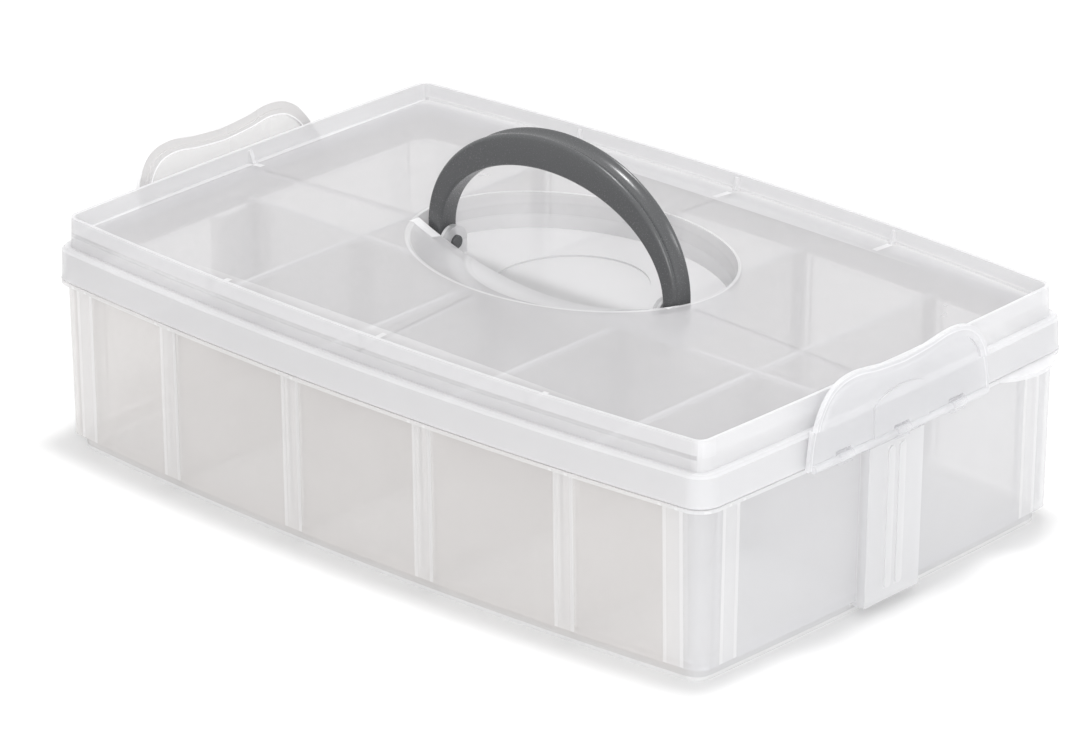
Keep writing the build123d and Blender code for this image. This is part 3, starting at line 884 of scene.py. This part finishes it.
    def build(self, material: bpy.types.Material) -> bpy.types.Object:
        """Makes the handle and hides the plain node that it stands for.

        Args:
            material: its finish.

        Returns:
            The handle.
        """
        shells = [self.bow()]
        inside, outside = self.inner_half_span, self.outer_half_span
        for side in (1, -1):
            shells.append(self.disc(side, inside, outside, self.foot_radius, self.foot_soft))
            pin_root = inside + self.pin_soft
            shells.append(self.disc(side, self.pin_end, pin_root, self.pin_radius, self.pin_soft))
        piece = make_piece("carry_handle_grip", shells, material)
        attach(piece, Body.HANDLE.value)
        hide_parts("carry_handle")
        LOG.info("built %s with %d faces", piece.name, len(piece.data.polygons))
        return piece


@dataclass
class Tray:
    """The tray and its dividers, dressed as they are in the frame."""

    haze: float = 0.40
    divider_haze: float = 0.32
    slot_pitch: float = 0.0625
    rib_half: float = 0.0034
    rib_line: float = 0.0005
    post_x: float = 0.1395
    post_y: float = 0.080
    long_wall: Band = Band(0.0960, 0.0110, 0.1920)
    short_wall: Band = Band(0.1510, 0.0110, 0.3020)
    rib_height: Band = Band(0.0356, 0.0296)
    column_rib_height: Band = Band(0.0345, 0.0265)

    def ribs(self, middle: float, pitch: float, on_long_wall: bool) -> tuple[MaskBox, ...]:
        """An upright rib as a milky band with a painted highlight line down each side.

        Args:
            middle: where the first rib stands along its wall.
            pitch: distance to the next.
            on_long_wall: whether it stands on a long wall or on a short one.

        Returns:
            The band and its two lines.
        """
        bands = [
            (Band(middle, self.rib_half, pitch), 0.45),
            (Band(middle - self.rib_half, self.rib_line, pitch), 0.8),
            (Band(middle + self.rib_half, self.rib_line, pitch), 0.8),
        ]
        if on_long_wall:
            return tuple(MaskBox(band, self.long_wall, self.rib_height, much) for band, much in bands)
        return tuple(MaskBox(self.short_wall, band, self.rib_height, much) for band, much in bands)

    def thick_and_highlit_places(self) -> tuple[MaskBox, ...]:
        """Foot, flange, slot ribs, corner posts and the columns in the short walls, with painted highlight
        lines along the foot, the flange and the rib sides.

        Returns:
            The places where the tray is milkier and takes the highlight tint.
        """
        return (
            # Painted highlights: bright lines along the bottom of the foot and along the flange.
            MaskBox(z=Band(0.0006, 0.0006)),
            MaskBox(z=Band(0.0651, 0.0007), strength=0.5),
            MaskBox(self.short_wall, Band(0.0, 0.0144), Band(0.0340, 0.0312), 0.4),
            *self.ribs(self.slot_pitch / 2, self.slot_pitch, True),
            *self.ribs(self.post_x, 2 * self.post_x, True),
            *self.ribs(self.post_y, 2 * self.post_y, False),
            MaskBox(x=self.short_wall, y=Band(-0.0029, 0.0017), z=self.column_rib_height, strength=0.6),
            MaskBox(x=self.short_wall, y=Band(0.0029, 0.0017), z=self.column_rib_height, strength=0.6),
        )

    def dress(self, shelf: EffectShelf) -> None:
        """Gives the tray and the dividers their finishes.

        Args:
            shelf: the shared effects.
        """
        # Painted shade: the compartment floors take the darker shade tint.
        floor = MaskBox(Band(0.0, 0.142), Band(0.0, 0.088), Band(0.0, 0.0026), soft=0.001)
        lugs = MaskBox(
            Band(0.1700, 0.0130, 0.3400), Band(0.0, 0.0450), Band(0.0668, 0.0032), 0.6
        )
        tray = MilkyPlastic(
            "milky_tray",
            tint=(0.80, 0.775, 0.765),
            cool_tint=(0.81, 0.81, 0.83),
            highlight_tint=(0.90, 0.90, 0.905),
            shade_tint=(0.56, 0.545, 0.54),
            haze=self.haze,
            unevenness=0.12,
            polish=0.34,
            edge_gain=0.2,
            thick_and_highlit=self.thick_and_highlit_places(),
            shaded=(floor,),
            clear=(lugs,),
        )
        divider = MilkyPlastic(
            "milky_divider",
            tint=(0.78, 0.765, 0.755),
            cool_tint=(0.79, 0.785, 0.79),
            highlight_tint=(0.93, 0.93, 0.935),
            shade_tint=(0.70, 0.69, 0.68),
            haze=self.divider_haze,
            unevenness=0.15,
            polish=0.36,
            edge_gain=0.5,
            # Painted highlights: bright lines along the dividers' top edges and where they meet the floor.
            thick_and_highlit=(MaskBox(z=Band(0.0693, 0.0010)), MaskBox(z=Band(0.0028, 0.0007))),
        )
        dress("tray", tray.material(shelf))
        made = divider.material(shelf)
        for name in sorted(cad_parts):
            if "divider" in name:
                dress(name, made)


@dataclass
class Lid:
    """The lid, dressed as it is in the frame."""

    haze: float = 0.37
    foot_x: float = 0.0560
    gusset_pitch: float = 0.075

    def dress(self, shelf: EffectShelf) -> None:
        """Gives the lid its finish.

        Args:
            shelf: the shared effects.
        """
        rim_height = Band(0.0857, 0.0028)
        long_rim = Band(0.0905, 0.0040, 0.1810)
        short_rim = Band(0.1480, 0.0040, 0.2960)
        gusset = Band(0.0, 0.0009, self.gusset_pitch)
        side_gusset = Band(0.0, 0.0009)
        foot = Band(self.foot_x, 0.0050, 2 * self.foot_x)
        lid = MilkyPlastic(
            "milky_lid",
            tint=(0.70, 0.695, 0.71),
            # The much paler cool tint lightens the lid's right end walls: painted light.
            cool_tint=(0.79, 0.79, 0.81),
            highlight_tint=(0.90, 0.90, 0.91),
            shade_tint=(0.68, 0.68, 0.69),
            haze=self.haze,
            unevenness=0.1,
            polish=0.3,
            edge_gain=0.5,
            cool_from=0.1455,
            cool_to=0.1490,
            thick_and_highlit=(
                # Painted highlights: bright lines along the rim's top, the shoulder and the skirt's foot.
                MaskBox(z=Band(0.0887, 0.0005), strength=0.35),
                MaskBox(z=Band(0.0774, 0.0005), strength=0.35),
                MaskBox(z=Band(0.0665, 0.0004), strength=0.45),
                # Painted light: lighter bands on the skirt and on the rim walls.
                MaskBox(z=Band(0.0716, 0.0058), strength=0.4),
                MaskBox(y=Band(0.0930, 0.0085, 0.1860), z=Band(0.0865, 0.0025), strength=0.3),
                MaskBox(y=Band(0.0970, 0.0050, 0.1940), z=Band(0.0798, 0.0020), strength=0.35),
                MaskBox(x=Band(0.1510, 0.0030, 0.3020), z=Band(0.0835, 0.0055), strength=0.45),
                # Painted highlight round the recess mouth, and painted light on its walls inside.
                RecessMouth(),
                MaskBox(gusset, long_rim, rim_height, 0.5),
                MaskBox(short_rim, side_gusset, rim_height, 0.5),
                MaskBox(foot, Band(-0.0040, 0.0045), strength=0.8, soft=0.001),
            ),
        )
        dress("lid", lid.material(shelf))


@dataclass
class Latches:
    """Both end latches, dressed as they are in the frame."""

    haze: float = 0.42
    left_lean: float = 16.0
    right_tint: tuple[float, float, float] = (0.80, 0.80, 0.82)
    # The latches are one plastic: the left one's darker tint is painted shade.
    left_shaded_tint: tuple[float, float, float] = (0.70, 0.69, 0.69)

    def finish(
        self, name: str, tint: tuple[float, float, float], lean: Lean, lip_gain: float
    ) -> MilkyPlastic:
        """Finish of one latch.

        Args:
            name: the finish's name.
            tint: its colour; the left latch's darker one is painted shade.
            lean: how the latch stands, and the width of its lip.
            lip_gain: how much milkier the lip is.

        Returns:
            The finish.
        """
        return MilkyPlastic(
            name,
            tint=tint,
            cool_tint=tint,
            highlight_tint=(0.92, 0.92, 0.925),
            shade_tint=tint,
            haze=self.haze,
            unevenness=0.1,
            polish=0.28,
            edge_gain=0.25,
            lean=lean,
            lip_gain=lip_gain,
        )

    def dress(self, shelf: EffectShelf) -> None:
        """Gives both latches their finish.

        Args:
            shelf: the shared effects.
        """
        # Painted highlights: thin bright lines along each latch's wavy edge.
        upright = Lean(side=1, degrees=0.0, lip_width=0.0016, highlight_line_strength=0.3)
        leaning = Lean(side=-1, degrees=self.left_lean, lip_width=0.0046, highlight_line_strength=0.9)
        right = self.finish("milky_right_latch", self.right_tint, upright, 0.05)
        left = self.finish("milky_left_latch", self.left_shaded_tint, leaning, 0.28)
        dress("right_latch", right.material(shelf))
        dress("left_latch", left.material(shelf))


@dataclass(frozen=True)
class Softbox:
    """A soft rectangular lamp that faces the case, in metres and watts."""

    name: str
    place: tuple[float, float, float]
    size: tuple[float, float]
    power: float

    def build(self, aim: tuple[float, float, float]) -> None:
        """Adds the lamp.

        Args:
            aim: the point that it faces.
        """
        data = bpy.data.lights.new(self.name, "AREA")
        data.shape = "RECTANGLE"
        data.size, data.size_y = self.size
        data.energy = self.power
        lamp = bpy.data.objects.new(self.name, data)
        bpy.context.scene.collection.objects.link(lamp)
        lamp.location = self.place
        look = Vector(aim) - Vector(self.place)
        lamp.rotation_euler = look.to_track_quat("-Z", "Y").to_euler()


@dataclass
class Studio:
    """Floor, world, lamps and the camera at the photograph's angle."""

    eye: tuple[float, float, float] = (1.4376, -1.5870, 0.9521)
    target: tuple[float, float, float] = (-0.00447, 0.0, 0.04281)
    lens: float = 216.88
    sensor: float = 36.0
    floor_half: float = 6.0
    floor_near: float = 0.4
    floor_far: float = 2.4
    floor_tone: float = 0.84
    near_glow: float = 0.05
    far_glow: float = 0.35
    lamp_aim: tuple[float, float, float] = (0.0, 0.0, 0.05)
    softboxes: tuple[Softbox, ...] = (
        Softbox("overhead_softbox", (0.09, 0.08, 2.3), (0.42, 0.42), 24.5),
        Softbox("front_softbox", (1.95, -1.60, 0.92), (0.7, 1.5), 26.0),
    )
    world_light: float = 0.79

    def backdrop_world(self) -> None:
        """White to the camera and in reflections, and a plain soft light for the rest."""
        world = bpy.data.worlds.new("white_room")
        bpy.context.scene.world = world
        world.use_nodes = True
        sheet = Sheet(world.node_tree)
        backdrop = world.node_tree.nodes["Background"]
        backdrop.inputs["Color"].default_value = (1, 1, 1, 1)
        rays = sheet.add("ShaderNodeLightPath").outputs
        seen = sheet.math("MAXIMUM", rays["Is Camera Ray"], rays["Is Glossy Ray"])
        seen = sheet.math("MAXIMUM", seen, rays["Is Transmission Ray"])
        mix = sheet.add("ShaderNodeMix", data_type="FLOAT")
        sheet.join(seen, mix.inputs["Factor"])
        mix.inputs["A"].default_value = self.world_light
        mix.inputs["B"].default_value = 1.0
        sheet.join(mix.outputs["Result"], backdrop.inputs["Strength"])

    def floor(self) -> None:
        """Pale floor that shows as white, apart from the case's own shadow.

        What the camera sees of it glows a little, and more from the near to the far radius,
        where the lamps no longer reach.
        """
        half = self.floor_half
        mesh = bpy.data.meshes.new("floor")
        corners = [(-half, -half, 0), (half, -half, 0), (half, half, 0), (-half, half, 0)]
        mesh.from_pydata(corners, [], [(0, 1, 2, 3)])
        floor = bpy.data.objects.new("floor", mesh)
        bpy.context.scene.collection.objects.link(floor)
        made = bpy.data.materials.new("floor_white")
        made.use_nodes = True
        sheet = Sheet(made.node_tree)
        shader = made.node_tree.nodes["Principled BSDF"]
        shader.inputs["Base Color"].default_value = (self.floor_tone, self.floor_tone, self.floor_tone, 1)
        shader.inputs["Roughness"].default_value = 0.9
        shader.inputs["Specular IOR Level"].default_value = 0.0
        rays = sheet.add("ShaderNodeLightPath").outputs
        seen = sheet.math("MAXIMUM", rays["Is Camera Ray"], rays["Is Glossy Ray"])
        away = sheet.add("ShaderNodeVectorMath", operation="LENGTH")
        sheet.join(sheet.add("ShaderNodeTexCoord").outputs["Object"], away.inputs[0])
        far = sheet.fade(away.outputs["Value"], self.floor_near, self.floor_far)
        glow = sheet.math("MULTIPLY", seen, sheet.math("MULTIPLY_ADD", far, self.far_glow, self.near_glow))
        shader.inputs["Emission Color"].default_value = (1, 1, 1, 1)
        sheet.join(glow, shader.inputs["Emission Strength"])
        mesh.materials.append(made)

    def camera(self) -> None:
        """Camera at the photograph's viewing angle."""
        data = bpy.data.cameras.new("camera")
        data.lens = self.lens
        data.sensor_width = self.sensor
        data.clip_end = 100
        camera = bpy.data.objects.new("camera", data)
        bpy.context.scene.collection.objects.link(camera)
        camera.location = self.eye
        aim = Vector(self.target) - Vector(self.eye)
        camera.rotation_euler = aim.to_track_quat("-Z", "Y").to_euler()
        bpy.context.scene.camera = camera

    def build(self) -> None:
        """Sets up the whole studio."""
        scene = bpy.context.scene
        scene.view_settings.view_transform = "Standard"
        scene.cycles.transparent_max_bounces = 32
        scene.cycles.max_bounces = 8
        self.backdrop_world()
        self.floor()
        for softbox in self.softboxes:
            softbox.build(self.lamp_aim)
        self.camera()


def main() -> None:
    """Dresses the frame and builds the pieces in order."""
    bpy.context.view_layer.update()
    shelf = EffectShelf()
    Tray().dress(shelf)
    Lid().dress(shelf)
    Latches().dress(shelf)
    CarryHandle().build(CharcoalSatin().material(shelf))
    Studio().build()


if __name__ == "__main__":
    logging.basicConfig(level=logging.INFO, format="%(message)s")
    main()
